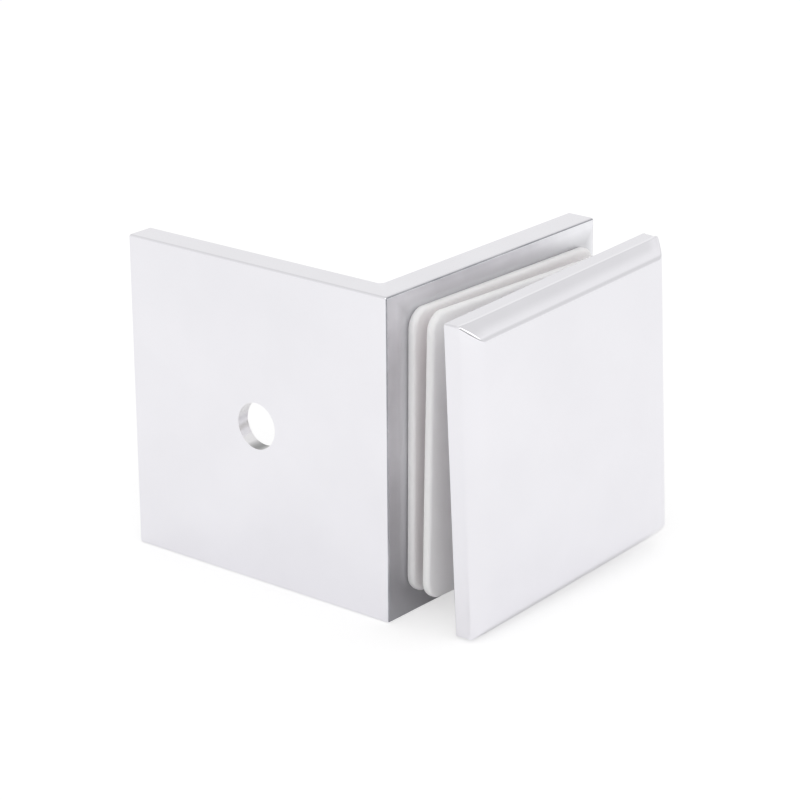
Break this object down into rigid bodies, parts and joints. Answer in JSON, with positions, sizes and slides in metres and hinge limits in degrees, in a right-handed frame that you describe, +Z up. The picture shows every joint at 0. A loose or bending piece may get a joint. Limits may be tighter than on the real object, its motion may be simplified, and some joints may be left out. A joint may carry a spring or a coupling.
{
  "type": "glass clamp",
  "caption": "Square wall-to-glass clamp: an angle bracket for the wall and a bevelled cover plate that pinches a glass panel between soft pads.",
  "frame": {"origin": "where the wall screw hole's axis meets the wall face of the bracket", "axes": "+X leads away from the wall along the glass panel, -Y points from the bracket to the cover plate, +Z is up"},
  "size_m": [0.05, 0.0663, 0.0501],
  "materials": {
    "bracket_chrome": "mirror polished chrome on brass",
    "cover_chrome": "mirror polished chrome on brass",
    "clear_pad": "translucent soft plastic, slightly cloudy",
    "white_nylon": "natural nylon, satin",
    "screw_steel": "plain stainless steel, turned"
  },
  "bodies": {
    "bracket": {"bracket": "bracket_chrome", "bracket_gasket": "clear_pad"},
    "screw": {"clamp_screw": "screw_steel"},
    "sleeve": {"hole_sleeve": "white_nylon"},
    "cover": {"cover_plate": "cover_chrome"},
    "loose_pad": {"cover_gasket": "clear_pad"}
  },
  "joints": [
    {"name": "screw_turn", "type": "hinge", "parent": "bracket", "child": "screw", "pos_m": [0.025, -0.0226, 0], "axis": [-0.007, -0.9999, 0.0157], "range_deg": [-1584.5, 828.5]},
    {"name": "cover_travel", "type": "slide", "parent": "bracket", "child": "sleeve", "axis": [-0.007, -0.9999, 0.0157], "range_m": [-0.0023, 0.0044]},
    {"name": "cover_swivel", "type": "hinge", "parent": "sleeve", "child": "cover", "pos_m": [0.025, -0.0226, 0], "axis": [-0.007, -0.9999, 0.0157], "continuous": true},
    {"name": "pad_slide", "type": "slide", "parent": "sleeve", "child": "loose_pad", "axis": [-0.007, -0.9999, 0.0157], "range_m": [0, 0.004]}
  ],
  "couplings": [
    {"joint": "screw_turn", "follows": "cover_travel", "rad_per_m": -6283.2}
  ]
}
